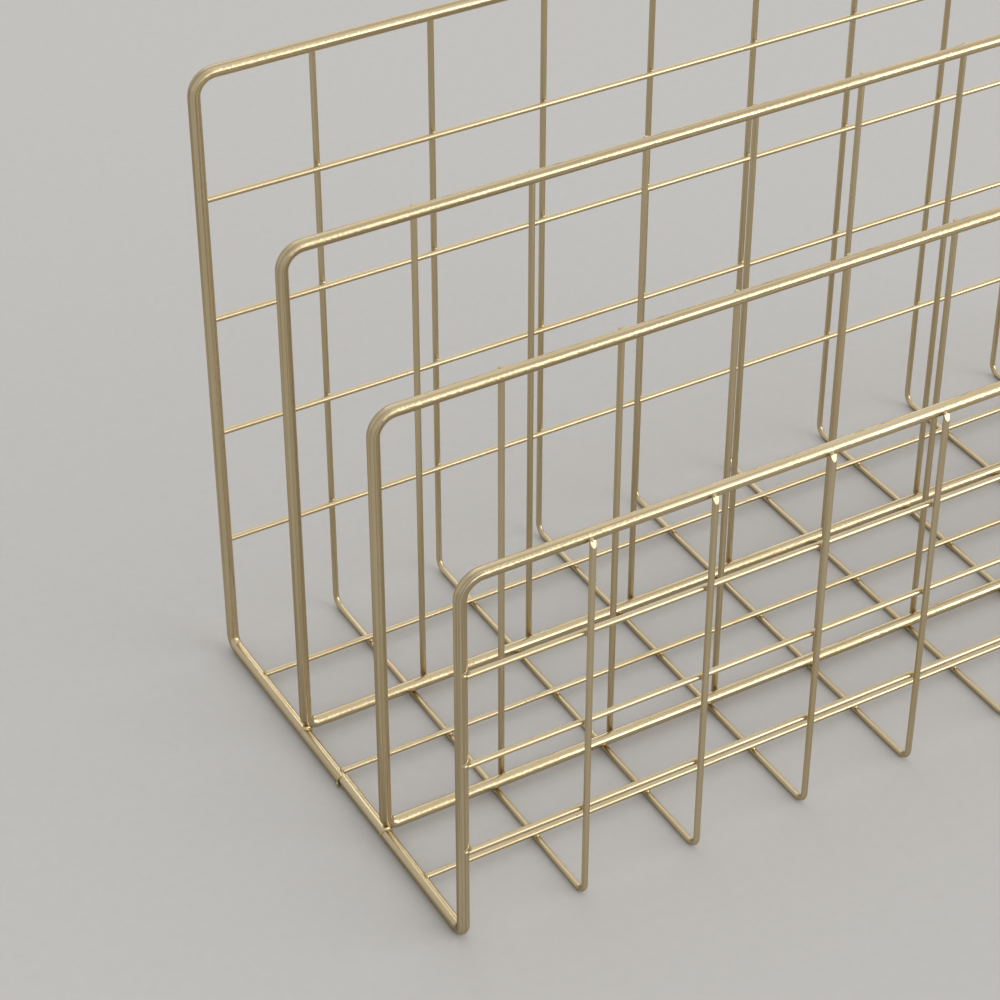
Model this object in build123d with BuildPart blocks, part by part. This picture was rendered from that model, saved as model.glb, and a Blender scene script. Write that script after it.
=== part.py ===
"""Letter rack of welded round wire: two frame hoops, two divider rings and a thin wire mesh.

Units are millimetres. X runs along the rack, -Y is the low front and +Z is up.
The origin is the centre of the rack's footprint, on the surface that it stands on.
"""

import os
from math import sqrt

from build123d import *

# Wire
FRAME_WIRE = 3.5
MESH_WIRE = 1.8

# Plan, between the centre lines of the frame wires
COLUMNS = 9
COLUMN_PITCH = 36.0
DEPTH = 140.0
REAR_DIVIDER_FROM_FRONT = 93.8
FRONT_DIVIDER_FROM_FRONT = 45.3
MIDDLE_BASE_WIRE_FROM_FRONT = 71.9
BASE_WIRE_PITCH = 49.0

# Heights of the four top bars above the side rails, centre line to centre line
BACK_HEIGHT = 190.2
REAR_DIVIDER_HEIGHT = 161.4
FRONT_DIVIDER_HEIGHT = 139.3
FRONT_HEIGHT = 119.2

# Wires that cross each panel
BACK_ROWS = 5
FRONT_ROWS = 4
BASE_WIRES = 3

# Bend radii on the centre line
TOP_BEND = 6.2
FOOT_BEND = 3.6
MESH_BEND = 3.6

# Welded details
WELD_SINK = 0.75
REAR_DIVIDER_STEP = 5.0
FRONT_DIVIDER_STEP = 3.4
DIVIDER_TIP_RISE = 0.6
DIVIDER_TIP_DROP = 0.9

# Places worked out from the sizes above
LEFT = -COLUMNS * COLUMN_PITCH / 2
RIGHT = -LEFT
FRONT_Y = -DEPTH / 2
BACK_Y = DEPTH / 2
RAIL_Z = FRAME_WIRE / 2
SEAM_Y = FRONT_Y + MIDDLE_BASE_WIRE_FROM_FRONT

# The mesh wires lie on the outside of the top bars, and level with the bottom of the rails
OUTER_STEP = (FRAME_WIRE + MESH_WIRE) / 2
FLUSH_STEP = (FRAME_WIRE - MESH_WIRE) / 2
MESH_Z = MESH_WIRE / 2
BASE_WIRE_Z = MESH_Z + MESH_WIRE

# A divider ring rests on the mesh wires, and its bottom corners touch the side rails
RING_Z = MESH_WIRE + FRAME_WIRE / 2
CORNER_REACH = FOOT_BEND + FRAME_WIRE
CORNER_RISE = FOOT_BEND + RING_Z - RAIL_Z
RING_INSET = sqrt(CORNER_REACH**2 - CORNER_RISE**2) - FOOT_BEND

os.makedirs("parts", exist_ok=True)


def bent_wire(diameter, corners, bends, closed=False):
    """Return a round wire along straight runs that are joined by tangent bends."""
    with BuildPart() as wire:
        with BuildLine() as route:
            FilletPolyline(*corners, radius=bends, close=closed)
        with BuildSketch(Plane(origin=route.line @ 0, z_dir=route.line % 0)):
            Circle(diameter / 2)
        sweep()
    return wire.part


def straight_wire(start, end, welded_to=()):
    """Return a straight mesh wire whose ends are shaped to the wires it is welded to."""
    run = Vector(*end) - Vector(*start)
    with BuildPart() as wire:
        with BuildSketch(Plane(origin=start, z_dir=run)):
            Circle(MESH_WIRE / 2)
        extrude(amount=run.length)
        for neighbour in welded_to:
            add(neighbour, mode=Mode.SUBTRACT)
    return wire.part


def save(piece, name):
    """Label a piece and write it as the node of that name."""
    piece.label = name
    export_step(piece, f"parts/{name}.step")


def frame_hoop(y, height):
    """Return a hoop: a half rail, an upright, the top bar, an upright and a half rail."""
    top_z = RAIL_Z + height
    left_side = [(LEFT, SEAM_Y, RAIL_Z), (LEFT, y, RAIL_Z), (LEFT, y, top_z)]
    right_side = [(RIGHT, y, top_z), (RIGHT, y, RAIL_Z), (RIGHT, SEAM_Y, RAIL_Z)]
    return bent_wire(FRAME_WIRE, left_side + right_side, [FOOT_BEND, TOP_BEND, TOP_BEND, FOOT_BEND])


def divider_ring(y, height):
    """Return a closed ring with wide bends at the top and tight bends at the foot."""
    top_z = RAIL_Z + height
    left = LEFT + RING_INSET
    right = RIGHT - RING_INSET
    corners = [(left, y, RING_Z), (left, y, top_z), (right, y, top_z), (right, y, RING_Z)]
    return bent_wire(FRAME_WIRE, corners, [FOOT_BEND, TOP_BEND, TOP_BEND, FOOT_BEND], closed=True)


def mesh_u_wire(x):
    """Return a wire that runs up the outside of the front, under the base and up the back."""
    front = FRONT_Y - OUTER_STEP
    back = BACK_Y + OUTER_STEP
    corners = [
        (x, front, RAIL_Z + FRONT_HEIGHT),
        (x, front, MESH_Z),
        (x, back, MESH_Z),
        (x, back, RAIL_Z + BACK_HEIGHT),
    ]
    return bent_wire(MESH_WIRE, corners, MESH_BEND)


def cross_wire(y, z, hoops):
    """Return a wire along the rack whose ends are sunk into the frame wires at both sides."""
    reach = RIGHT - FRAME_WIRE / 2 + WELD_SINK
    return straight_wire((-reach, y, z), (reach, y, z), hoops)


def divider_wire(x, y, height):
    """Return an upright wire on the rear face of a divider ring's two bars."""
    rear = y + OUTER_STEP
    foot = (x, rear, RING_Z - DIVIDER_TIP_DROP)
    tip = (x, rear, RAIL_Z + height + DIVIDER_TIP_RISE)
    return straight_wire(foot, tip)


# Frame hoops, butt welded to each other in the middle of both side rails
front_hoop = frame_hoop(FRONT_Y, FRONT_HEIGHT)
back_hoop = frame_hoop(BACK_Y, BACK_HEIGHT)
save(front_hoop, "front_hoop")
save(back_hoop, "back_hoop")

# Divider rings and the upright wires on their rear faces
dividers = [
    ("rear_divider", REAR_DIVIDER_FROM_FRONT, REAR_DIVIDER_HEIGHT, REAR_DIVIDER_STEP),
    ("front_divider", FRONT_DIVIDER_FROM_FRONT, FRONT_DIVIDER_HEIGHT, FRONT_DIVIDER_STEP),
]
for divider, from_front, height, step in dividers:
    divider_y = FRONT_Y + from_front
    save(divider_ring(divider_y, height), f"{divider}_ring")
    for column in range(1, COLUMNS):
        wire_x = LEFT + column * COLUMN_PITCH + step
        save(divider_wire(wire_x, divider_y, height), f"{divider}_wire_{column}")

# Mesh wires that carry the front, the base and the back
for column in range(1, COLUMNS):
    save(mesh_u_wire(LEFT + column * COLUMN_PITCH), f"mesh_u_wire_{column}")

# Cross wires of the back and the front, numbered from the bottom
for row in range(1, BACK_ROWS):
    wire_z = RAIL_Z + row * BACK_HEIGHT / BACK_ROWS
    save(cross_wire(BACK_Y + FLUSH_STEP, wire_z, [back_hoop]), f"back_cross_wire_{row}")

for row in range(1, FRONT_ROWS):
    wire_z = RAIL_Z + row * FRONT_HEIGHT / FRONT_ROWS
    save(cross_wire(FRONT_Y - FLUSH_STEP, wire_z, [front_hoop]), f"front_cross_wire_{row}")

# Cross wires of the base, one in each slot, numbered from the front
for slot in range(BASE_WIRES):
    wire_y = SEAM_Y + (slot - (BASE_WIRES - 1) / 2) * BASE_WIRE_PITCH
    save(cross_wire(wire_y, BASE_WIRE_Z, [front_hoop, back_hoop]), f"base_cross_wire_{slot + 1}")
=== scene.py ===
"""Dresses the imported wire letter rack: plated wires, weld metal, pale table, soft light and camera.

Metres, in the rack's own frame: X runs along the rack, -Y is its low front, +Z is up and the table
is Z = 0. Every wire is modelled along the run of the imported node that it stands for.
"""

import logging
import math
import random
from collections.abc import Sequence
from dataclasses import dataclass, field
from enum import Enum
from typing import Any, NamedTuple

import bpy
from mathutils import Euler, Matrix, Vector


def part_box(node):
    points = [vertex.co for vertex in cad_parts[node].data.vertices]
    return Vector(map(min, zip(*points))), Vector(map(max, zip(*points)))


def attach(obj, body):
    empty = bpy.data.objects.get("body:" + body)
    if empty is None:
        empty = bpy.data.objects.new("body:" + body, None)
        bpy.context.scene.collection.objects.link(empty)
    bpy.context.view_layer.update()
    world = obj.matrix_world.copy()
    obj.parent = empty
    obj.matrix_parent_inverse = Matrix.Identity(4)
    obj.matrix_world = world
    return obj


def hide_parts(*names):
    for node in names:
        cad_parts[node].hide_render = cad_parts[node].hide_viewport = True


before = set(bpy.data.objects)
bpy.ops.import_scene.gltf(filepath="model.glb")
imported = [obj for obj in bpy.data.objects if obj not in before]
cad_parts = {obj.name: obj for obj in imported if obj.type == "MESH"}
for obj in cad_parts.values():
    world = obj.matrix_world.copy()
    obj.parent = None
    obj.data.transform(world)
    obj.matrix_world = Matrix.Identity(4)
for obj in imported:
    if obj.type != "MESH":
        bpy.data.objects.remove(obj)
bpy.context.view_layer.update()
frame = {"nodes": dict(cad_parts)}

LOG = logging.getLogger("letter_rack")
MM = 0.001
BODY = "root"
UP = Vector((0, 0, 1))
ALONG = Vector((1, 0, 0))
REARWARD = Vector((0, 1, 0))
QUARTER_TURN = math.radians(90)
FULL_TURN = math.radians(360)

# Bend radii on the centre line of the wires
TOP_BEND = 6.2 * MM
FOOT_BEND = 3.6 * MM
MESH_BEND = 3.6 * MM

# Flats around the frame wire, which shows larger than the mesh wire
FRAME_SIDES = 40

# Sockets by number: of a Map Range node, and of a Mix node for colours
VALUE, FROM_MIN, FROM_MAX, TO_MIN, TO_MAX = range(5)
FACTOR, FIRST, SECOND, MIXED = 0, 6, 7, 2

NOISE_MIDDLE = 0.5


class Slot(Enum):
    """The record's material slots."""

    FRAME = "frame_wire"
    MESH = "mesh_wire"


class Tip(Enum):
    """How the end of a wire was left."""

    CUT = "cut"
    ROUNDED = "rounded"


class Panel(Enum):
    """The flat sides of the wire mesh."""

    BACK = "back"
    FRONT = "front"
    BASE = "base"


class End(Enum):
    """The two ends of the rack."""

    LEFT = "left"
    RIGHT = "right"


class Joint(NamedTuple):
    """Where a weld is laid: its centre, its Z direction and its X direction."""

    centre: Vector
    out: Vector
    length: Vector


def linear(colour: str) -> tuple[float, float, float, float]:
    """Turn an sRGB hex colour to linear light.

    Args:
        colour: the colour as #RRGGBB.

    Returns:
        Red, green, blue and full alpha, in linear light.
    """
    shares = [int(colour[i : i + 2], 16) / 255 for i in (1, 3, 5)]
    lights = [c / 12.92 if c <= 0.04045 else ((c + 0.055) / 1.055) ** 2.4 for c in shares]
    return (*lights, 1.0)


def add_node(
    tree: bpy.types.NodeTree, kind: str, settings: dict[str, Any], inputs: dict[Any, Any]
) -> bpy.types.Node:
    """Add one node with its settings, constants and links.

    Args:
        tree: the node tree that takes the node.
        kind: the node's type name.
        settings: attributes to set on the node.
        inputs: for each input socket, by name or number, a constant or the socket to link from.

    Returns:
        The new node.
    """
    node = tree.nodes.new(kind)
    for name, value in settings.items():
        setattr(node, name, value)
    for name, value in inputs.items():
        if isinstance(value, bpy.types.NodeSocket):
            tree.links.new(value, node.inputs[name])
        else:
            node.inputs[name].default_value = value
    return node


def new_material(name: str) -> tuple[bpy.types.Material, bpy.types.NodeTree]:
    """Make an empty node material.

    Args:
        name: the material's name.

    Returns:
        The material and its cleared node tree.
    """
    material = bpy.data.materials.new(name)
    material.use_nodes = True
    material.node_tree.nodes.clear()
    return material, material.node_tree


def middle(node: str) -> Vector:
    """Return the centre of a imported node's box."""
    low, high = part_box(node)
    return (low + high) / 2


def deselect() -> None:
    """Leave object mode with nothing selected."""
    if bpy.context.object and bpy.context.object.mode != "OBJECT":
        bpy.ops.object.mode_set(mode="OBJECT")
    bpy.ops.object.select_all(action="DESELECT")


def add_ring(name: str, sides: int, radius: float, place: Vector, turn: Euler) -> bpy.types.Object:
    """Add the ring that a sweep starts from, and open it for editing with all its points selected.

    Args:
        name: the new object's name.
        sides: how many points the ring has.
        radius: its radius.
        place: its centre.
        turn: its turn from lying flat.

    Returns:
        The new mesh object, in edit mode.
    """
    deselect()
    bpy.ops.mesh.primitive_circle_add(vertices=sides, radius=radius, location=place, rotation=turn)
    piece = bpy.context.object
    piece.name = piece.data.name = name
    bpy.ops.object.transform_apply(location=True, rotation=True, scale=True)
    bpy.ops.object.mode_set(mode="EDIT")
    bpy.ops.mesh.select_all(action="SELECT")
    return piece


def close_up() -> None:
    """Cap the open ends of the mesh in edit mode, turn its faces outwards and leave edit mode."""
    bpy.ops.mesh.select_all(action="SELECT")
    bpy.ops.mesh.fill_holes(sides=0)
    bpy.ops.mesh.normals_make_consistent(inside=False)
    bpy.ops.object.mode_set(mode="OBJECT")


def copy_piece(pattern: bpy.types.Object) -> bpy.types.Object:
    """Copy an object, mesh and all.

    Args:
        pattern: the object to copy.

    Returns:
        The copy, selected alone.
    """
    deselect()
    pattern.select_set(True)
    bpy.context.view_layer.objects.active = pattern
    bpy.ops.object.duplicate(linked=False)
    return bpy.context.object


def fit_to_frame(
    piece: bpy.types.Object, finish: bpy.types.Material, nodes: Sequence[str] = ()
) -> None:
    """Give a finished piece its material and tie it to the frame.

    Args:
        piece: the finished mesh object.
        finish: its material.
        nodes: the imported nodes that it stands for.
    """
    piece.data.materials.clear()
    piece.data.materials.append(finish)
    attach(piece, BODY)
    if nodes:
        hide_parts(*nodes)
    LOG.info("%s: %d faces", piece.name, len(piece.data.polygons))


@dataclass(frozen=True)
class Streaks:
    """Noise on a wire's straightened coordinates, narrow around the wire and long along it.

    Attributes:
        width: the streaks' width around the wire.
        length: their length along it.
        detail: how many finer layers the noise has.
        harshness: how strong each finer layer is.
    """

    width: float
    length: float
    detail: float = 0.0
    harshness: float = 0.55

    def add(self, tree: bpy.types.NodeTree, drawn: bpy.types.Node) -> bpy.types.NodeSocket:
        """Add the streaks to a material.

        Args:
            tree: the material's node tree.
            drawn: the node that gives the straightened coordinates.

        Returns:
            The socket that gives the noise.
        """
        scale = (1 / self.width, 1 / self.width, 1 / self.length)
        scaled = add_node(
            tree, "ShaderNodeMapping", {}, {"Vector": drawn.outputs["Vector"], "Scale": scale}
        )
        noise = add_node(
            tree,
            "ShaderNodeTexNoise",
            {},
            {
                "Vector": scaled.outputs["Vector"],
                "Scale": 1.0,
                "Detail": self.detail,
                "Roughness": self.harshness,
            },
        )
        return noise.outputs["Fac"]


@dataclass(frozen=True)
class DrawnBrassPlate:
    """Brass plate on drawn steel wire, under clear lacquer.

    The drawing die leaves fine lines along the wire, cut in as shallow grooves whose colour is darkened
    as painted shade;
    the plate is a warm satin mirror over them with uneven patches and a few dark pinholes, and the
    lacquer adds a thin neutral shine.
    """

    name: str
    bright: str = "#D1C3A3"
    deep: str = "#BDA87B"
    groove_shade: str = "#7C6846"
    pinhole: str = "#4A3A20"
    # Painted shade: this colour darkens the plate along the die lines' grooves
    grazing: str = "#C8B07C"
    # Real die lines are under 0.1 mm wide, so these are drawn coarse enough to show
    lines: Streaks = Streaks(1.0 * MM, 320 * MM, detail=1.0)
    line_edges: tuple[float, float] = (0.02, 0.09)
    line_strength: float = 0.42
    line_depth: float = 0.01 * MM
    line_bump: float = 0.5
    # Cloudy patches are deeper in colour and duller than the plate between them
    clouds: Streaks = Streaks(5 * MM, 60 * MM, detail=2.0)
    cloud_edges: tuple[float, float] = (0.3, 0.7)
    smooth: float = 0.15
    satin: float = 0.38
    # In the patches the plate built up unevenly, which makes the edge of a highlight ragged
    peel: Streaks = Streaks(0.6 * MM, 0.9 * MM)
    peel_depth: float = 0.07 * MM
    peel_edges: tuple[float, float] = (0.38, 0.56)
    peel_bumps: tuple[float, float] = (0.05, 0.9)
    # Pinholes are scattered one to a cell of this size, and most cells miss the surface
    pinhole_spacing: float = 6 * MM
    pinhole_radius: float = 0.26 * MM
    pinhole_core: float = 0.4
    pinhole_strength: float = 0.8
    lacquer: float = 0.8
    lacquer_roughness: float = 0.1

    def material(self) -> bpy.types.Material:
        """Build the finish on the wire's own straightened coordinates.

        Returns:
            The material.
        """
        material, tree = new_material(self.name)
        drawn = add_node(tree, "ShaderNodeAttribute", {"attribute_name": "drawn"}, {})
        clouds = self.clouds.add(tree, drawn)
        groove_relief_and_shade = self._groove_relief_and_shade(tree, drawn)
        plate = add_node(
            tree,
            "ShaderNodeMix",
            {"data_type": "RGBA"},
            {FACTOR: clouds, FIRST: linear(self.bright), SECOND: linear(self.deep)},
        )
        # Painted shade along the die lines darkens the plate's colour there
        line_shaded = add_node(
            tree,
            "ShaderNodeMix",
            {"data_type": "RGBA"},
            {FACTOR: groove_relief_and_shade, FIRST: plate.outputs[MIXED], SECOND: linear(self.groove_shade)},
        )
        pinholes = self._pinholes(tree, drawn)
        colour = add_node(
            tree,
            "ShaderNodeMix",
            {"data_type": "RGBA"},
            {FACTOR: pinholes, FIRST: line_shaded.outputs[MIXED], SECOND: linear(self.pinhole)},
        )
        roughness = add_node(
            tree,
            "ShaderNodeMapRange",
            {},
            {
                VALUE: clouds,
                FROM_MIN: self.cloud_edges[0],
                FROM_MAX: self.cloud_edges[1],
                TO_MIN: self.smooth,
                TO_MAX: self.satin,
            },
        )
        shader = add_node(
            tree,
            "ShaderNodeBsdfPrincipled",
            {},
            {
                "Base Color": colour.outputs[MIXED],
                "Metallic": 1.0,
                "Roughness": roughness.outputs["Result"],
                "Normal": self._relief(tree, drawn, clouds, groove_relief_and_shade),
                "Specular Tint": linear(self.grazing),
                "Coat Weight": self.lacquer,
                "Coat Roughness": self.lacquer_roughness,
            },
        )
        add_node(tree, "ShaderNodeOutputMaterial", {}, {"Surface": shader.outputs["BSDF"]})
        return material

    def _groove_relief_and_shade(self, tree: bpy.types.NodeTree, drawn: bpy.types.Node) -> bpy.types.NodeSocket:
        """Add the die lines: one mask for the depth of their grooves and for the painted shade along
        them.

        Args:
            tree: the material's node tree.
            drawn: the node that gives the straightened coordinates.

        Returns:
            The socket that gives the lines' strength, which is 0 between them.
        """
        # A line lies where the noise crosses its middle value, so it stays thin and wanders slowly
        noise = self.lines.add(tree, drawn)
        level = add_node(
            tree, "ShaderNodeMath", {"operation": "SUBTRACT"}, {0: noise, 1: NOISE_MIDDLE}
        )
        distance = add_node(
            tree, "ShaderNodeMath", {"operation": "ABSOLUTE"}, {0: level.outputs["Value"]}
        )
        groove_relief_and_shade = add_node(
            tree,
            "ShaderNodeMapRange",
            {"interpolation_type": "SMOOTHSTEP"},
            {
                VALUE: distance.outputs["Value"],
                FROM_MIN: self.line_edges[0],
                FROM_MAX: self.line_edges[1],
                TO_MIN: self.line_strength,
                TO_MAX: 0.0,
            },
        )
        return groove_relief_and_shade.outputs["Result"]

    def _pinholes(self, tree: bpy.types.NodeTree, drawn: bpy.types.Node) -> bpy.types.NodeSocket:
        """Add sparse round dots where the plate did not take.

        Args:
            tree: the material's node tree.
            drawn: the node that gives the straightened coordinates.

        Returns:
            The socket that gives the dots' strength, which is 0 between them.
        """
        cells = add_node(
            tree,
            "ShaderNodeTexVoronoi",
            {},
            {"Vector": drawn.outputs["Vector"], "Scale": 1 / self.pinhole_spacing},
        )
        edge = self.pinhole_radius / self.pinhole_spacing
        dots = add_node(
            tree,
            "ShaderNodeMapRange",
            {"interpolation_type": "SMOOTHSTEP"},
            {
                VALUE: cells.outputs["Distance"],
                FROM_MIN: self.pinhole_core * edge,
                FROM_MAX: edge,
                TO_MIN: self.pinhole_strength,
                TO_MAX: 0.0,
            },
        )
        return dots.outputs["Result"]

    def _relief(
        self,
        tree: bpy.types.NodeTree,
        drawn: bpy.types.Node,
        clouds: bpy.types.NodeSocket,
        groove_relief_and_shade: bpy.types.NodeSocket,
    ) -> bpy.types.NodeSocket:
        """Add the depth of the die lines and the low waves of uneven plate.

        Args:
            tree: the material's node tree.
            drawn: the node that gives the straightened coordinates.
            clouds: the noise that says where the plate is uneven.
            groove_relief_and_shade: the die lines' strength.

        Returns:
            The socket that gives the normal.
        """
        lines = add_node(
            tree,
            "ShaderNodeBump",
            {"invert": True},
            {"Strength": self.line_bump, "Distance": self.line_depth, "Height": groove_relief_and_shade},
        )
        patches = add_node(
            tree,
            "ShaderNodeMapRange",
            {"interpolation_type": "SMOOTHSTEP"},
            {
                VALUE: clouds,
                FROM_MIN: self.peel_edges[0],
                FROM_MAX: self.peel_edges[1],
                TO_MIN: self.peel_bumps[0],
                TO_MAX: self.peel_bumps[1],
            },
        )
        waves = add_node(
            tree,
            "ShaderNodeBump",
            {},
            {
                "Strength": patches.outputs["Result"],
                "Distance": self.peel_depth,
                "Height": self.peel.add(tree, drawn),
                "Normal": lines.outputs["Normal"],
            },
        )
        return waves.outputs["Normal"]


@dataclass(frozen=True)
class PlatedWeld:
    """Brass plate over weld metal: a little warmer and duller than the wire, with frozen ripples."""

    name: str = "brass_plated_weld_metal"
    bright: str = "#D1C2A0"
    deep: str = "#BAA476"
    ripple: float = 0.8 * MM
    ripple_detail: float = 2.0
    ripple_edges: tuple[float, float] = (0.3, 0.7)
    ripple_depth: float = 0.05 * MM
    ripple_bump: float = 0.5
    smooth: float = 0.16
    dull: float = 0.28

    def material(self) -> bpy.types.Material:
        """Build the finish on object coordinates.

        Returns:
            The material.
        """
        material, tree = new_material(self.name)
        place = add_node(tree, "ShaderNodeTexCoord", {}, {})
        noise = add_node(
            tree,
            "ShaderNodeTexNoise",
            {},
            {
                "Vector": place.outputs["Object"],
                "Scale": 1 / self.ripple,
                "Detail": self.ripple_detail,
            },
        )
        ripples = noise.outputs["Fac"]
        colour = add_node(
            tree,
            "ShaderNodeMix",
            {"data_type": "RGBA"},
            {FACTOR: ripples, FIRST: linear(self.bright), SECOND: linear(self.deep)},
        )
        roughness = add_node(
            tree,
            "ShaderNodeMapRange",
            {},
            {
                VALUE: ripples,
                FROM_MIN: self.ripple_edges[0],
                FROM_MAX: self.ripple_edges[1],
                TO_MIN: self.smooth,
                TO_MAX: self.dull,
            },
        )
        bump = add_node(
            tree,
            "ShaderNodeBump",
            {},
            {"Strength": self.ripple_bump, "Distance": self.ripple_depth, "Height": ripples},
        )
        shader = add_node(
            tree,
            "ShaderNodeBsdfPrincipled",
            {},
            {
                "Base Color": colour.outputs[MIXED],
                "Metallic": 1.0,
                "Roughness": roughness.outputs["Result"],
                "Normal": bump.outputs["Normal"],
            },
        )
        add_node(tree, "ShaderNodeOutputMaterial", {}, {"Surface": shader.outputs["BSDF"]})
        return material


@dataclass(frozen=True)
class PaleTable:
    """Matt pale laminate: even and without a shine, with a faint fine grain."""

    name: str = "pale_matt_laminate"
    light: str = "#C4C2BF"
    shade: str = "#BEBCB9"
    grain: float = 3 * MM
    grain_detail: float = 3.0
    shine: float = 0.0

    def material(self) -> bpy.types.Material:
        """Build the finish on object coordinates.

        Returns:
            The material.
        """
        material, tree = new_material(self.name)
        place = add_node(tree, "ShaderNodeTexCoord", {}, {})
        grain = add_node(
            tree,
            "ShaderNodeTexNoise",
            {},
            {
                "Vector": place.outputs["Object"],
                "Scale": 1 / self.grain,
                "Detail": self.grain_detail,
            },
        )
        colour = add_node(
            tree,
            "ShaderNodeMix",
            {"data_type": "RGBA"},
            {FACTOR: grain.outputs["Fac"], FIRST: linear(self.light), SECOND: linear(self.shade)},
        )
        shader = add_node(
            tree,
            "ShaderNodeBsdfPrincipled",
            {},
            {"Base Color": colour.outputs[MIXED], "Specular IOR Level": self.shine},
        )
        add_node(tree, "ShaderNodeOutputMaterial", {}, {"Surface": shader.outputs["BSDF"]})
        return material


@dataclass(frozen=True)
class Finishes:
    """The materials that the sub-assemblies share."""

    frame: bpy.types.Material
    mesh: bpy.types.Material
    weld: bpy.types.Material


@dataclass
class BentWire:
    """A round wire, drawn straight, cut to length and bent over a former.

    Attributes:
        name: the piece's name.
        radius: the wire's radius.
        corners: the ends and corners of the route, on the centre line.
        bends: the bend radius at each inner corner, on the centre line.
        tips: how the first and the last end were left.
        sides: flats around the wire.
        steps: rings in each bend.
        tip_rings: rings in a rounded tip.
        tip_depth: how far a rounded tip's curve reaches, as a share of the radius.
        smooth_angle: the steepest edge that is shaded smooth.
    """

    name: str
    radius: float
    corners: Sequence[Vector]
    bends: Sequence[float] = ()
    tips: tuple[Tip, Tip] = (Tip.CUT, Tip.CUT)
    sides: int = 28
    steps: int = 12
    tip_rings: int = 4
    tip_depth: float = 0.7
    smooth_angle: float = math.radians(50)
    _rings: list[tuple[float, float]] = field(default_factory=list, init=False)

    def model(self) -> bpy.types.Object:
        """Sweep the round section along the route with extrude and spin.

        Returns:
            The finished mesh object, at the origin.
        """
        heading = (self.corners[1] - self.corners[0]).normalized()
        first_tip = self._tip(self.tips[0])
        last_tip = self._tip(self.tips[1])
        depth, share = first_tip[0]
        pen = self.corners[0] + heading * depth
        turn = heading.to_track_quat("Z", "Y").to_euler()
        piece = add_ring(self.name, self.sides, self.radius * share, pen, turn)
        self._rings = [(0.0, share)]
        for depth, share in first_tip[1:]:
            pen = self._run(pen, self.corners[0] + heading * depth, share)
        for corner, after, bend in zip(self.corners[1:], self.corners[2:], self.bends):
            turned = (after - corner).normalized()
            reach = bend * math.tan(heading.angle(turned) / 2)
            pen = self._run(pen, corner - heading * reach)
            pen = self._bend(pen, heading, turned, bend)
            heading = turned
        for depth, share in reversed(last_tip):
            pen = self._run(pen, self.corners[-1] - heading * depth, share)
        close_up()
        bpy.ops.object.shade_smooth_by_angle(angle=self.smooth_angle)
        self._mark_drawing(piece)
        return piece

    def _tip(self, tip: Tip) -> list[tuple[float, float]]:
        """List the rings of an end, from the end inwards.

        Args:
            tip: how the end was left.

        Returns:
            For each ring its distance from the end and its share of the wire's radius.
        """
        if tip is Tip.CUT:
            return [(0.0, 1.0)]
        turns = [QUARTER_TURN * ring / self.tip_rings for ring in range(1, self.tip_rings + 1)]
        depth = self.tip_depth * self.radius
        return [(depth * (1 - math.cos(turn)), math.sin(turn)) for turn in turns]

    def _run(self, pen: Vector, end: Vector, share: float = 1.0) -> Vector:
        """Extrude the last ring straight to a point.

        Args:
            pen: the last ring's centre.
            end: the new ring's centre.
            share: the new ring's radius as a share of the wire's.

        Returns:
            The new ring's centre.
        """
        along, old_share = self._rings[-1]
        bpy.ops.mesh.extrude_region_move(TRANSFORM_OT_translate={"value": end - pen})
        if share != old_share:
            bpy.ops.transform.resize(value=(share / old_share,) * 3, center_override=end)
        self._rings.append((along + (end - pen).length, share))
        return end

    def _bend(self, pen: Vector, heading: Vector, turned: Vector, bend: float) -> Vector:
        """Spin the last ring round a corner.

        Args:
            pen: the last ring's centre, where the bend starts.
            heading: the direction before the bend.
            turned: the direction after it.
            bend: the bend's radius.

        Returns:
            The centre of the ring at the bend's end.
        """
        turn = heading.angle(turned)
        inward = (turned - heading * heading.dot(turned)).normalized()
        centre = pen + inward * bend
        axis = heading.cross(inward)
        # The spin operator turns against its axis
        bpy.ops.mesh.spin(
            steps=self.steps, angle=-turn, center=centre, axis=axis, use_auto_merge=False
        )
        along = self._rings[-1][0]
        for step in range(1, self.steps + 1):
            self._rings.append((along + bend * turn * step / self.steps, 1.0))
        return centre + Matrix.Rotation(turn, 3, axis) @ (pen - centre)

    def _mark_drawing(self, piece: bpy.types.Object) -> None:
        """Store where each point lay on the straight wire, before it was bent.

        Args:
            piece: the wire's mesh object, whose rings of points follow one another.
        """
        around = [FULL_TURN * side / self.sides for side in range(self.sides)]
        places: list[float] = []
        for along, share in self._rings:
            reach = self.radius * share
            for turn in around:
                places += (reach * math.cos(turn), reach * math.sin(turn), along)
        drawn = piece.data.attributes.new("drawn", "FLOAT_VECTOR", "POINT")
        drawn.data.foreach_set("vector", places)


def cut_elsewhere(piece: bpy.types.Object, start: float) -> None:
    """Shift a wire's drawing lines, as on a length cut from another place on the coil.

    Args:
        piece: the wire.
        start: where on the coil its length starts.
    """
    for point in piece.data.attributes["drawn"].data:
        point.vector.z += start


def lay_wires(
    pattern: bpy.types.Object, nodes: Sequence[str], length: float, finish: bpy.types.Material
) -> None:
    """Copy a thin wire to the other nodes of its kind, and dress them all.

    Args:
        pattern: the finished wire at the first node.
        nodes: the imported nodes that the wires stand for.
        length: the length of coil from the start of one wire to the start of the next.
        finish: the wires' material.
    """
    wires = [pattern]
    for node in nodes[1:]:
        wire = copy_piece(pattern)
        wire.name = wire.data.name = f"{node}_plated"
        bpy.ops.transform.translate(value=middle(node) - middle(nodes[0]))
        bpy.ops.object.transform_apply(location=True, rotation=True, scale=True)
        wires.append(wire)
    for place, (node, wire) in enumerate(zip(nodes, wires)):
        cut_elsewhere(wire, place * length)
        fit_to_frame(wire, finish, [node])


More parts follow.
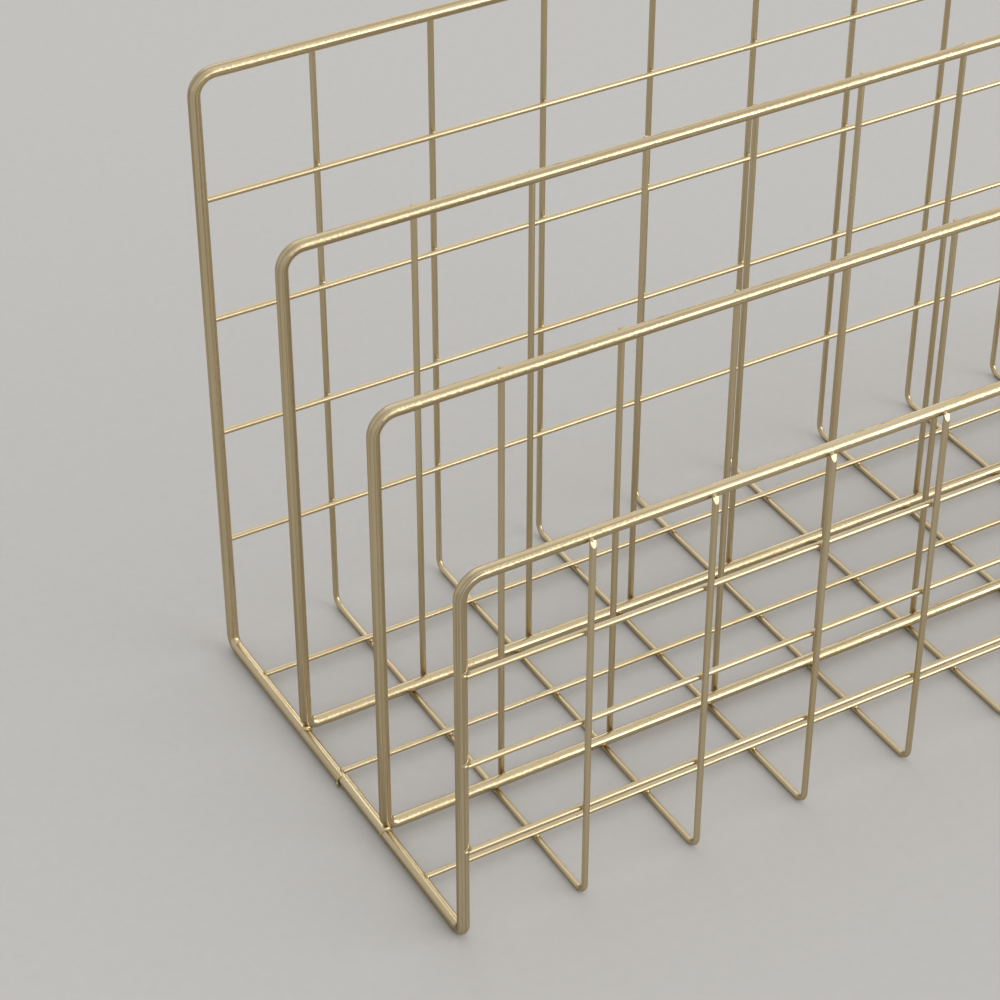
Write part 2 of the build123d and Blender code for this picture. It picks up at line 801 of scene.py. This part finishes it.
@dataclass(kw_only=True)
class Weld:
    """Weld metal at a joint, modelled once about the origin and then laid at each joint of its kind.

    Attributes:
        name: the pattern's name.
        waves: the width of its frozen waves.
        wave_height: their height.
        unevenness: how far the laid copies differ in size, as a share.
        seed: the seed of their sizes.
    """

    name: str
    waves: float = 0.9 * MM
    wave_height: float = 0.06 * MM
    unevenness: float = 0.12
    seed: int = 11

    def model(self) -> bpy.types.Object:
        """Model the smooth pattern, at the origin."""
        raise NotImplementedError

    def _roughen(self, pattern: bpy.types.Object) -> None:
        """Raise the frozen waves on a pattern.

        Args:
            pattern: the smooth pattern, active and in object mode.
        """
        clouds = bpy.data.textures.new(f"{self.name}_waves", "CLOUDS")
        clouds.noise_scale = self.waves
        rough = pattern.modifiers.new("waves", "DISPLACE")
        rough.texture = clouds
        rough.strength = self.wave_height
        bpy.ops.object.modifier_apply(modifier=rough.name)
        bpy.ops.object.shade_smooth()

    def lay(self, name: str, joints: Sequence[Joint]) -> bpy.types.Object:
        """Lay a copy at each joint and join them to one piece.

        Args:
            name: the piece's name.
            joints: where the welds are laid.

        Returns:
            The joined welds, at the origin.
        """
        pattern = self.model()
        self._roughen(pattern)
        draws = random.Random(self.seed)
        laid = []
        for centre, out, length in joints:
            weld = copy_piece(pattern)
            side = out.cross(length).normalized()
            turn = Matrix((side.cross(out), side, out)).transposed().to_4x4()
            sizes = [1 + draws.uniform(-self.unevenness, self.unevenness) for _ in range(3)]
            weld.matrix_world = Matrix.Translation(centre) @ turn @ Matrix.Diagonal((*sizes, 1.0))
            bpy.ops.object.transform_apply(location=True, rotation=True, scale=True)
            laid.append(weld)
        bpy.data.objects.remove(pattern)
        deselect()
        for weld in laid:
            weld.select_set(True)
        bpy.context.view_layer.objects.active = laid[0]
        bpy.ops.object.join()
        piece = bpy.context.object
        piece.name = piece.data.name = name
        return piece


@dataclass(kw_only=True)
class WeldBead(Weld):
    """A bead squeezed out between two wires, flat along its Z axis.

    Attributes:
        half_sizes: half its length, width and height, in mm.
        segments: flats around it.
        bands: bands of faces from end to end.
    """

    half_sizes: tuple[float, float, float]
    segments: int = 20
    bands: int = 12

    def model(self) -> bpy.types.Object:
        """Squash a ball to the bead's size.

        Returns:
            The pattern, at the origin.
        """
        deselect()
        bpy.ops.mesh.primitive_uv_sphere_add(
            segments=self.segments, ring_count=self.bands, radius=1.0
        )
        bead = bpy.context.object
        bead.name = bead.data.name = self.name
        bpy.ops.object.mode_set(mode="EDIT")
        bpy.ops.mesh.select_all(action="SELECT")
        bpy.ops.transform.resize(value=Vector(self.half_sizes) * MM)
        bpy.ops.object.mode_set(mode="OBJECT")
        return bead


@dataclass(kw_only=True)
class EndFillet(Weld):
    """Weld metal at a wire's end: a horn up the post, a tongue onto its face and a ridge between them.

    Its X axis runs out along the wire from the post's axis, and Z is the way it climbs.

    Attributes:
        post: the post's radius.
        offset: how far the wire's axis lies outside the post's axis.
        hand: 1 where the outside is along Y, -1 where it is along -Y.
        sides: flats around the horn, the tongue and the ridge.
        horn: for each ring of the horn, how far it lies along the wire, out from the wire's axis
            and up, and its radius, in mm.
        tongue: for each ring of the tongue, how far it lies along the wire and up, its radius and
            how far it stands proud of the post's face, in mm.
        ridge: the same for the ridge, from the horn's tip down to the tongue's.
    """

    post: float
    offset: float
    hand: int
    sides: int = 20
    horn: tuple[tuple[float, float, float, float], ...] = (
        (1.70, 0.00, 0.20, 0.70),
        (1.68, 0.02, 0.75, 0.62),
        (1.58, 0.08, 1.15, 0.50),
        (1.46, 0.15, 1.65, 0.40),
        (1.38, 0.20, 2.25, 0.32),
        (1.34, 0.24, 2.80, 0.22),
        (1.31, 0.26, 3.20, 0.10),
    )
    tongue: tuple[tuple[float, float, float, float], ...] = (
        (1.60, 0.15, 0.84, 0.40),
        (1.10, 0.30, 0.82, 0.36),
        (0.60, 0.50, 0.74, 0.30),
        (0.10, 0.70, 0.58, 0.24),
        (-0.40, 0.85, 0.40, 0.16),
        (-0.80, 0.90, 0.15, 0.06),
    )
    ridge: tuple[tuple[float, float, float, float], ...] = (
        (1.30, 3.05, 0.14, 0.10),
        (1.00, 2.70, 0.34, 0.30),
        (0.60, 2.25, 0.48, 0.42),
        (0.10, 1.80, 0.54, 0.46),
        (-0.40, 1.40, 0.48, 0.40),
        (-0.80, 1.10, 0.32, 0.25),
        (-1.10, 0.95, 0.12, 0.08),
    )

    def model(self) -> bpy.types.Object:
        """Extrude the horn out of the wire, and the tongue and the ridge along the post's face.

        Returns:
            The pattern, at the origin.
        """
        horn = [(Vector((x, self.hand * y, z)) * MM, radius * MM) for x, y, z, radius in self.horn]
        place, radius = horn[0]
        fillet = add_ring(self.name, self.sides, radius, place, Euler())
        self._taper(horn)
        for table in (self.tongue, self.ridge):
            rings = self._on_face(table)
            place, radius = rings[0]
            bpy.ops.mesh.primitive_circle_add(
                vertices=self.sides, radius=radius, location=place, rotation=(0, QUARTER_TURN, 0)
            )
            self._taper(rings)
        close_up()
        return fillet

    def _on_face(
        self, table: Sequence[tuple[float, float, float, float]]
    ) -> list[tuple[Vector, float]]:
        """Place rings on the face of the post.

        Args:
            table: for each ring how far it lies along the wire and up, its radius and how far it
                stands proud of the face, in mm.

        Returns:
            Each ring's centre and radius.
        """
        rings = []
        for x, z, radius, proud in table:
            y = self._face(x * MM) + (proud - radius) * MM
            rings.append((Vector((x * MM, self.hand * y, z * MM)), radius * MM))
        return rings

    def _face(self, x: float) -> float:
        """Return how far the post's face lies out from the wire's axis."""
        return math.sqrt(self.post**2 - x**2) - self.offset

    @staticmethod
    def _taper(rings: Sequence[tuple[Vector, float]]) -> None:
        """Extrude the selected first ring through the others.

        Args:
            rings: each ring's centre and radius.
        """
        for (place, old_radius), (spot, radius) in zip(rings, rings[1:]):
            bpy.ops.mesh.extrude_region_move(TRANSFORM_OT_translate={"value": spot - place})
            bpy.ops.transform.resize(value=(radius / old_radius,) * 3, center_override=spot)


@dataclass(kw_only=True)
class FootFillet(Weld):
    """A bead in the corner between a rail and the wire that stands on it, wrapped round the rail.

    The rail runs along its X axis, and the other wire stands along Z.

    Attributes:
        wrap: the radius of the bead's curve.
        thickness: half the bead's thickness.
        sweep: how far it wraps round the rail.
        sides: flats around the bead.
        steps: rings along the bead.
    """

    wrap: float
    thickness: float
    sweep: float = math.radians(250)
    sides: int = 16
    steps: int = 18

    def model(self) -> bpy.types.Object:
        """Spin a ring round the rail.

        Returns:
            The pattern, at the origin.
        """
        start = Matrix.Rotation(self.sweep / 2, 3, "X") @ Vector((0, 0, self.wrap))
        turn = Euler((QUARTER_TURN + self.sweep / 2, 0, 0))
        bead = add_ring(self.name, self.sides, self.thickness, start, turn)
        # The spin operator turns against its axis
        bpy.ops.mesh.spin(
            steps=self.steps, angle=self.sweep, center=(0, 0, 0), axis=ALONG, use_auto_merge=False
        )
        close_up()
        return bead


@dataclass
class FrameHoops:
    """The two frame hoops, butt welded to each other in the side rails.

    Attributes:
        finishes: the shared materials.
        radius: the frame wire's radius.
        seam_lead: how far the rail seams lie in front of the middle base wire.
        seam_step: how far the front hoop's rails are set in at the seams.
        burr: half sizes of the burr on each seam's outer side, in mm.
        burr_level: the burr's height above the table.
    """

    finishes: Finishes
    radius: float
    seam_lead: float = 2.6 * MM
    seam_step: float = 0.45 * MM
    burr: tuple[float, float, float] = (0.6, 0.9, 0.35)
    burr_level: float = 1.1 * MM

    def build(self) -> None:
        """Model both hoops and the burrs on their seams."""
        for panel in (Panel.FRONT, Panel.BACK):
            self._hoop(panel)
        self._seams()

    def _hoop(self, panel: Panel) -> None:
        """Model one hoop.

        Args:
            panel: the front or the back, where the hoop's uprights stand.
        """
        node = f"{panel.value}_hoop"
        low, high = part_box(node)
        left, right = low.x + self.radius, high.x - self.radius
        bottom, top = low.z + self.radius, high.z - self.radius
        front = panel is Panel.FRONT
        upright = low.y + self.radius if front else high.y - self.radius
        step = self.seam_step if front else 0.0
        seam = self._seam_y()
        route = [
            Vector((left + step, seam, bottom)),
            Vector((left, upright, bottom)),
            Vector((left, upright, top)),
            Vector((right, upright, top)),
            Vector((right, upright, bottom)),
            Vector((right - step, seam, bottom)),
        ]
        bends = (FOOT_BEND, TOP_BEND, TOP_BEND, FOOT_BEND)
        wire = BentWire(f"{node}_plated", self.radius, route, bends, sides=FRAME_SIDES).model()
        fit_to_frame(wire, self.finishes.frame, [node])

    def _seam_y(self) -> float:
        """Return where the rails meet, just in front of the middle base wire."""
        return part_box("front_hoop")[1].y - self.seam_lead

    def _seams(self) -> None:
        """Lay a burr on the outer side of both rail seams."""
        low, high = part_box("back_hoop")
        burrs = []
        for x, out in ((low.x, -ALONG), (high.x, ALONG)):
            centre = Vector((x, self._seam_y(), low.z + self.burr_level))
            burrs.append(Joint(centre, out, REARWARD))
        piece = WeldBead(name="rail_burr", half_sizes=self.burr).lay("rail_seam_welds", burrs)
        fit_to_frame(piece, self.finishes.weld)


@dataclass
class Divider:
    """A closed ring that stands across the rails, with upright wires on its rear face.

    Attributes:
        name: front_divider or rear_divider.
        finishes: the shared materials.
        radius: the frame wire's radius.
        mesh_radius: the upright wires' radius.
        columns: how many upright wires it has.
        bar_bead: half sizes of the beads between the uprights and the bars, in mm.
        foot_bead: half the thickness of the beads at its feet.
        foot_wrap: the radius of their curve round the rail.
        foot_step: how far they lie before it.
        foot_lift: how far the middle of their curve lies off the rail's axis, towards the ring.
    """

    name: str
    finishes: Finishes
    radius: float
    mesh_radius: float
    columns: int
    bar_bead: tuple[float, float, float] = (0.8, 1.0, 0.4)
    foot_bead: float = 0.6 * MM
    foot_wrap: float = 1.4 * MM
    foot_step: float = 1.25 * MM
    foot_lift: float = 0.4 * MM

    def build(self) -> None:
        """Model the ring, its upright wires and its welds."""
        self._ring()
        self._uprights()
        self._bar_welds()
        self._foot_welds()

    def _wire_nodes(self) -> list[str]:
        """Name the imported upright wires."""
        return [f"{self.name}_wire_{column}" for column in range(1, self.columns + 1)]

    def _ring(self) -> None:
        """Model the ring, butt welded in the middle of its bottom bar."""
        node = f"{self.name}_ring"
        low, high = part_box(node)
        y = middle(node).y
        left, right = low.x + self.radius, high.x - self.radius
        bottom, top = low.z + self.radius, high.z - self.radius
        seam = Vector((0, y, bottom))
        route = [
            seam,
            Vector((left, y, bottom)),
            Vector((left, y, top)),
            Vector((right, y, top)),
            Vector((right, y, bottom)),
            seam,
        ]
        bends = (FOOT_BEND, TOP_BEND, TOP_BEND, FOOT_BEND)
        wire = BentWire(f"{node}_plated", self.radius, route, bends, sides=FRAME_SIDES).model()
        fit_to_frame(wire, self.finishes.frame, [node])

    def _uprights(self) -> None:
        """Model one upright wire and copy it to the other columns."""
        nodes = self._wire_nodes()
        low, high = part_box(nodes[0])
        place = middle(nodes[0])
        foot, tip = Vector((place.x, place.y, low.z)), Vector((place.x, place.y, high.z))
        tips = (Tip.ROUNDED, Tip.ROUNDED)
        pattern = BentWire(f"{nodes[0]}_plated", self.mesh_radius, [foot, tip], tips=tips).model()
        lay_wires(pattern, nodes, high.z - low.z, self.finishes.mesh)

    def _bar_welds(self) -> None:
        """Lay the welds between the uprights and the ring's bars."""
        low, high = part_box(f"{self.name}_ring")
        bars = (low.z + self.radius, high.z - self.radius)
        joints = []
        for node in self._wire_nodes():
            x = middle(node).x
            joints += [Joint(Vector((x, high.y, z)), REARWARD, UP) for z in bars]
        bead = WeldBead(name="bar_bead", half_sizes=self.bar_bead)
        piece = bead.lay(f"{self.name}_bar_welds", joints)
        fit_to_frame(piece, self.finishes.weld)

    def _foot_welds(self) -> None:
        """Lay a bead before each bottom corner, where it rests on its rail."""
        low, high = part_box(f"{self.name}_ring")
        rail_low, rail_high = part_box("front_hoop")
        y = middle(f"{self.name}_ring").y
        joints = []
        for rail_x, corner_x in (
            (rail_low.x + self.radius, low.x + self.radius + FOOT_BEND),
            (rail_high.x - self.radius, high.x - self.radius - FOOT_BEND),
        ):
            rail = Vector((rail_x, y, rail_low.z + self.radius))
            bend = Vector((corner_x, y, low.z + self.radius + FOOT_BEND))
            out = (bend - rail).normalized()
            centre = rail + out * self.foot_lift - REARWARD * self.foot_step
            joints.append(Joint(centre, out, REARWARD))
        bead = FootFillet(name="foot_fillet", wrap=self.foot_wrap, thickness=self.foot_bead)
        piece = bead.lay(f"{self.name}_foot_welds", joints)
        fit_to_frame(piece, self.finishes.weld)


@dataclass
class WireMesh:
    """The thin wires of the front, the base and the back, welded where they cross.

    Attributes:
        finishes: the shared materials.
        radius: the thin wire's radius.
        frame_radius: the frame wire's radius.
        columns: how many U wires there are.
        rows: how many cross wires each panel has.
        u_length: the length of coil that each U wire takes.
        cross_length: the length of coil that each cross wire takes.
        pinch_drop: how far below a U wire's tip its slanted face starts.
        pinch_lean: how far that face leans back from upright.
        pinch_sharp: the flattest edge that counts as a rim of the tip.
        pinch_edge: the rounding of the rims.
        pinch_steps: faces across the rounding.
        crossing_bead: half sizes of the beads where wires cross, in mm.
        rail_bead: half sizes of the beads where the base's wires end on the rails, in mm.
        tip_bead: half sizes of the beads beside the tips, in mm.
        tip_bead_drop: how far the beads beside the tips lie below the top bars' axes.
    """

    finishes: Finishes
    radius: float
    frame_radius: float
    columns: int
    rows: dict[Panel, int] = field(
        default_factory=lambda: {Panel.BACK: 4, Panel.FRONT: 3, Panel.BASE: 3}
    )
    u_length: float = 0.5
    cross_length: float = 0.4
    pinch_drop: float = 1.9 * MM
    pinch_lean: float = math.radians(27)
    pinch_sharp: float = math.radians(60)
    pinch_edge: float = 0.12 * MM
    pinch_steps: int = 2
    crossing_bead: tuple[float, float, float] = (0.9, 1.0, 0.45)
    rail_bead: tuple[float, float, float] = (1.1, 1.05, 0.6)
    tip_bead: tuple[float, float, float] = (0.75, 0.8, 0.95)
    tip_bead_drop: float = 0.25 * MM

    def build(self) -> None:
        """Model the U wires, the cross wires and the welds."""
        self._u_wires()
        for panel in self.rows:
            self._cross_wires(panel)
            self._crossings(panel)
        self._ends()
        self._top_welds()

    def _u_nodes(self) -> list[str]:
        """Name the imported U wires."""
        return [f"mesh_u_wire_{column}" for column in range(1, self.columns + 1)]

    def _cross_nodes(self, panel: Panel) -> list[str]:
        """Name a panel's packed cross wires."""
        return [f"{panel.value}_cross_wire_{row}" for row in range(1, self.rows[panel] + 1)]

    def _u_wires(self) -> None:
        """Model one U wire and copy it to the other columns."""
        nodes = self._u_nodes()
        low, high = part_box(nodes[0])
        x = middle(nodes[0]).x
        front, back, base = low.y + self.radius, high.y - self.radius, low.z + self.radius
        front_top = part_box("front_hoop")[1].z - self.frame_radius
        route = [
            Vector((x, front, front_top)),
            Vector((x, front, base)),
            Vector((x, back, base)),
            Vector((x, back, high.z)),
        ]
        bends = (MESH_BEND, MESH_BEND)
        pattern = BentWire(f"{nodes[0]}_plated", self.radius, route, bends).model()
        self._pinch(route[0], -REARWARD)
        self._pinch(route[-1], REARWARD)
        lay_wires(pattern, nodes, self.u_length, self.finishes.mesh)

    def _pinch(self, tip: Vector, out: Vector) -> None:
        """Cut the slanted face that a weld electrode leaves on a tip of the active wire.

        Args:
            tip: the wire's end, on its axis.
            out: the direction away from the bar that the tip is welded to.
        """
        rim = tip + out * self.radius - UP * self.pinch_drop
        slant = out * math.cos(self.pinch_lean) + UP * math.sin(self.pinch_lean)
        bpy.ops.object.mode_set(mode="EDIT")
        bpy.ops.mesh.select_all(action="SELECT")
        bpy.ops.mesh.bisect(plane_co=rim, plane_no=slant, use_fill=True, clear_outer=True)
        # The cut leaves its rim selected, and the sheared end's rim is added
        bpy.ops.mesh.select_mode(type="EDGE")
        bpy.ops.mesh.edges_select_sharp(sharpness=self.pinch_sharp)
        bpy.ops.mesh.bevel(offset=self.pinch_edge, segments=self.pinch_steps, affect="EDGES")
        bpy.ops.mesh.select_mode(type="VERT")
        bpy.ops.object.mode_set(mode="OBJECT")

    def _cross_wires(self, panel: Panel) -> None:
        """Model a panel's first cross wire and copy it to the other rows.

        Args:
            panel: the panel that the wires lie in.
        """
        nodes = self._cross_nodes(panel)
        low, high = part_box(nodes[0])
        place = middle(nodes[0])
        start, end = Vector((low.x, place.y, place.z)), Vector((high.x, place.y, place.z))
        pattern = BentWire(f"{nodes[0]}_plated", self.radius, [start, end]).model()
        lay_wires(pattern, nodes, self.cross_length, self.finishes.mesh)

    def _crossings(self, panel: Panel) -> None:
        """Lay a small bead where each U wire crosses the panel's cross wires.

        Args:
            panel: the panel that the crossings lie in.
        """
        out = {Panel.BACK: REARWARD, Panel.FRONT: -REARWARD, Panel.BASE: -UP}[panel]
        joints = []
        for place in map(middle, self._cross_nodes(panel)):
            for node in self._u_nodes():
                centre = Vector((middle(node).x, place.y, place.z)) + out * self.radius
                joints.append(Joint(centre, out, ALONG))
        bead = WeldBead(name="crossing_bead", half_sizes=self.crossing_bead)
        piece = bead.lay(f"{panel.value}_crossing_welds", joints)
        fit_to_frame(piece, self.finishes.weld)

    def _ends(self) -> None:
        """Lay the welds at both ends of the cross wires: fillets on the uprights, beads on the rails."""
        low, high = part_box("front_hoop")
        front = low.y + self.frame_radius
        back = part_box("back_hoop")[1].y - self.frame_radius
        for end, x, out in (
            (End.LEFT, low.x + self.frame_radius, ALONG),
            (End.RIGHT, high.x - self.frame_radius, -ALONG),
        ):
            self._upright_ends(Panel.FRONT, front, end, x, out)
            self._upright_ends(Panel.BACK, back, end, x, out)
            self._rail_ends(low.z + self.frame_radius, end, x, out)

    def _upright_ends(self, panel: Panel, y: float, end: End, x: float, out: Vector) -> None:
        """Lay a fillet where each cross wire of a panel ends on one of its uprights.

        Args:
            panel: the front or the back.
            y: where the upright's axis stands along the depth.
            end: the end of the rack that the upright stands at.
            x: where its axis stands along the rack.
            out: the direction from the upright along the wires.
        """
        places = [middle(node) for node in self._cross_nodes(panel)]
        step = places[0].y - y
        fillet = EndFillet(
            name="end_fillet",
            post=self.frame_radius,
            offset=abs(step),
            hand=1 if step * out.x > 0 else -1,
        )
        joints = [Joint(Vector((x, place.y, place.z)), UP, out) for place in places]
        piece = fillet.lay(f"{panel.value}_cross_wire_{end.value}_end_welds", joints)
        fit_to_frame(piece, self.finishes.weld)

    def _rail_ends(self, z: float, end: End, x: float, out: Vector) -> None:
        """Lay a low bead where each cross wire of the base ends on one of the rails.

        Args:
            z: the height of the rail's axis.
            end: the end of the rack that the rail lies at.
            x: where its axis lies along the rack.
            out: the direction from the rail along the wires.
        """
        places = [middle(node) for node in self._cross_nodes(Panel.BASE)]
        reach = math.sqrt(self.frame_radius**2 - (places[0].z - z) ** 2)
        joints = []
        for place in places:
            joints.append(Joint(Vector((x, place.y, place.z)) + out * reach, out, REARWARD))
        bead = WeldBead(name="rail_end_bead", half_sizes=self.rail_bead)
        piece = bead.lay(f"base_cross_wire_{end.value}_end_welds", joints)
        fit_to_frame(piece, self.finishes.weld)

    def _top_welds(self) -> None:
        """Lay a bead between each tip of the U wires and the top bar beside it."""
        joints = []
        for hoop, out in (("front_hoop", -REARWARD), ("back_hoop", REARWARD)):
            low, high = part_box(hoop)
            y = low.y if out.y < 0 else high.y
            z = high.z - self.frame_radius - self.tip_bead_drop
            for node in self._u_nodes():
                joints.append(Joint(Vector((middle(node).x, y, z)), out, UP))
        bead = WeldBead(name="tip_bead", half_sizes=self.tip_bead)
        piece = bead.lay("top_bar_welds", joints)
        fit_to_frame(piece, self.finishes.weld)


@dataclass(frozen=True)
class SoftBox:
    """A flat soft light behind a grid, which narrows its beam.

    Attributes:
        name: the lamp's name.
        place: its centre.
        aim: the point that it faces.
        size: its width and height.
        glow: the radiance of its face, seen from straight ahead.
        spread: the full angle that the grid lets through.
    """

    name: str
    place: tuple[float, float, float]
    aim: tuple[float, float, float]
    size: tuple[float, float]
    glow: float
    spread: float = math.radians(90)

    def hang(self) -> None:
        """Add the lamp."""
        deselect()
        bpy.ops.object.light_add(type="AREA", location=self.place)
        lamp = bpy.context.object
        lamp.name = self.name
        lamp.data.shape = "RECTANGLE"
        lamp.data.size, lamp.data.size_y = self.size
        lamp.data.spread = self.spread
        # A narrower spread packs the same energy into fewer directions
        half = self.spread / 2
        share = 1 - half / math.tan(half)
        lamp.data.energy = self.glow * math.pi * self.size[0] * self.size[1] * share
        sight = Vector(self.aim) - Vector(self.place)
        lamp.rotation_euler = sight.to_track_quat("-Z", "Y").to_euler()


@dataclass(frozen=True)
class Studio:
    """The pale table, the soft light and the camera.

    Attributes:
        table_size: the side of the table.
        tent_side: the direction of the middle of the white tent round the set.
        tent_edge: where the tent fades out and in, as cosines from its middle.
        tent: the radiance of the tent.
        gap: the radiance of its open side.
        eye: where the camera stands.
        azimuth: degrees that the view turns from looking straight at the front.
        elevation: degrees that the camera looks down.
        lens: the focal length, in mm.
        sensor: the width of the sensor, in mm.
        boxes: the soft boxes.
    """

    table_size: float = 40.0
    tent_side: tuple[float, float, float] = (0.8, 0.2, 0.56)
    tent_edge: tuple[float, float] = (0.0, 0.7)
    tent: float = 1.0
    gap: float = 0.66
    eye: tuple[float, float, float] = (-0.41975, -0.53437, 0.54051)
    azimuth: float = -30.08
    elevation: float = 36.67
    lens: float = 101.43
    sensor: float = 36.0
    # The large boxes stand far off, so that they light the table evenly
    boxes: tuple[SoftBox, ...] = (
        SoftBox("front_right_box", (4.5, -9.8, 1.9), (0.0, 0.0, 0.1), (13.0, 3.7), 2.35),
        SoftBox("right_box", (9.2, -8.8, 4.5), (0.0, 0.0, 0.1), (9.8, 9.0), 3.2),
        SoftBox("back_box", (0.04, 0.85, 0.85), (-0.1, 0.0, 0.0), (0.48, 0.4), 1.15),
        SoftBox("rear_right_box", (7.5, 8.0, 1.9), (0.0, 0.0, 0.1), (9.0, 3.7), 1.5),
    )

    def build(self) -> None:
        """Lay the table, light the set and place the camera."""
        self._lay_table()
        self._light()
        self._aim_camera()

    def _lay_table(self) -> None:
        """Add the table's top, which is no part of the rack."""
        deselect()
        bpy.ops.mesh.primitive_plane_add(size=self.table_size)
        table = bpy.context.object
        table.name = "table"
        table.data.materials.append(PaleTable().material())

    def _light(self) -> None:
        """Put up the white tent and hang the soft boxes."""
        world = bpy.data.worlds.new("studio")
        bpy.context.scene.world = world
        world.use_nodes = True
        world.node_tree.nodes.clear()
        tree = world.node_tree
        sight = add_node(tree, "ShaderNodeTexCoord", {}, {})
        lean = add_node(
            tree,
            "ShaderNodeVectorMath",
            {"operation": "DOT_PRODUCT"},
            {0: sight.outputs["Generated"], 1: Vector(self.tent_side).normalized()},
        )
        level = add_node(
            tree,
            "ShaderNodeMapRange",
            {"interpolation_type": "SMOOTHSTEP"},
            {
                VALUE: lean.outputs["Value"],
                FROM_MIN: self.tent_edge[0],
                FROM_MAX: self.tent_edge[1],
                TO_MIN: self.gap,
                TO_MAX: self.tent,
            },
        )
        glow = add_node(
            tree,
            "ShaderNodeBackground",
            {},
            {"Color": linear("#FFFFFF"), "Strength": level.outputs["Result"]},
        )
        add_node(tree, "ShaderNodeOutputWorld", {}, {"Surface": glow.outputs["Background"]})
        for box in self.boxes:
            box.hang()

    def _aim_camera(self) -> None:
        """Place the camera at the photograph's view."""
        deselect()
        turn, tilt = math.radians(self.azimuth), math.radians(self.elevation)
        level = math.cos(tilt)
        ahead = Vector((-math.sin(turn) * level, math.cos(turn) * level, -math.sin(tilt)))
        rotation = ahead.to_track_quat("-Z", "Y").to_euler()
        bpy.ops.object.camera_add(location=self.eye, rotation=rotation)
        camera = bpy.context.object
        camera.data.sensor_width = self.sensor
        camera.data.lens = self.lens
        bpy.context.scene.camera = camera
        bpy.context.scene.view_settings.view_transform = "Standard"


def main() -> None:
    """Build the rack's sub-assemblies in order, then the studio."""
    logging.basicConfig(level=logging.INFO, format="%(name)s %(message)s")
    columns = sum(node.startswith("mesh_u_wire_") for node in frame["nodes"])
    ring_low, ring_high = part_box("front_divider_ring")
    wire_low, wire_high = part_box("front_divider_wire_1")
    frame_radius = (ring_high.y - ring_low.y) / 2
    mesh_radius = (wire_high.y - wire_low.y) / 2
    # The thin wire went through more dies, so its lines, and the painted shade along them, are fainter
    # and its plate lies flatter
    thin_plate = DrawnBrassPlate(
        "brass_plated_drawn_wire", line_strength=0.15, peel_depth=0.01 * MM, smooth=0.25, satin=0.34
    )
    finishes = Finishes(
        DrawnBrassPlate("brass_plated_drawn_rod").material(),
        thin_plate.material(),
        PlatedWeld().material(),
    )
    FrameHoops(finishes, frame_radius).build()
    for name in ("rear_divider", "front_divider"):
        Divider(name, finishes, frame_radius, mesh_radius, columns).build()
    WireMesh(finishes, mesh_radius, frame_radius, columns).build()
    Studio().build()


if __name__ == "__main__":
    main()
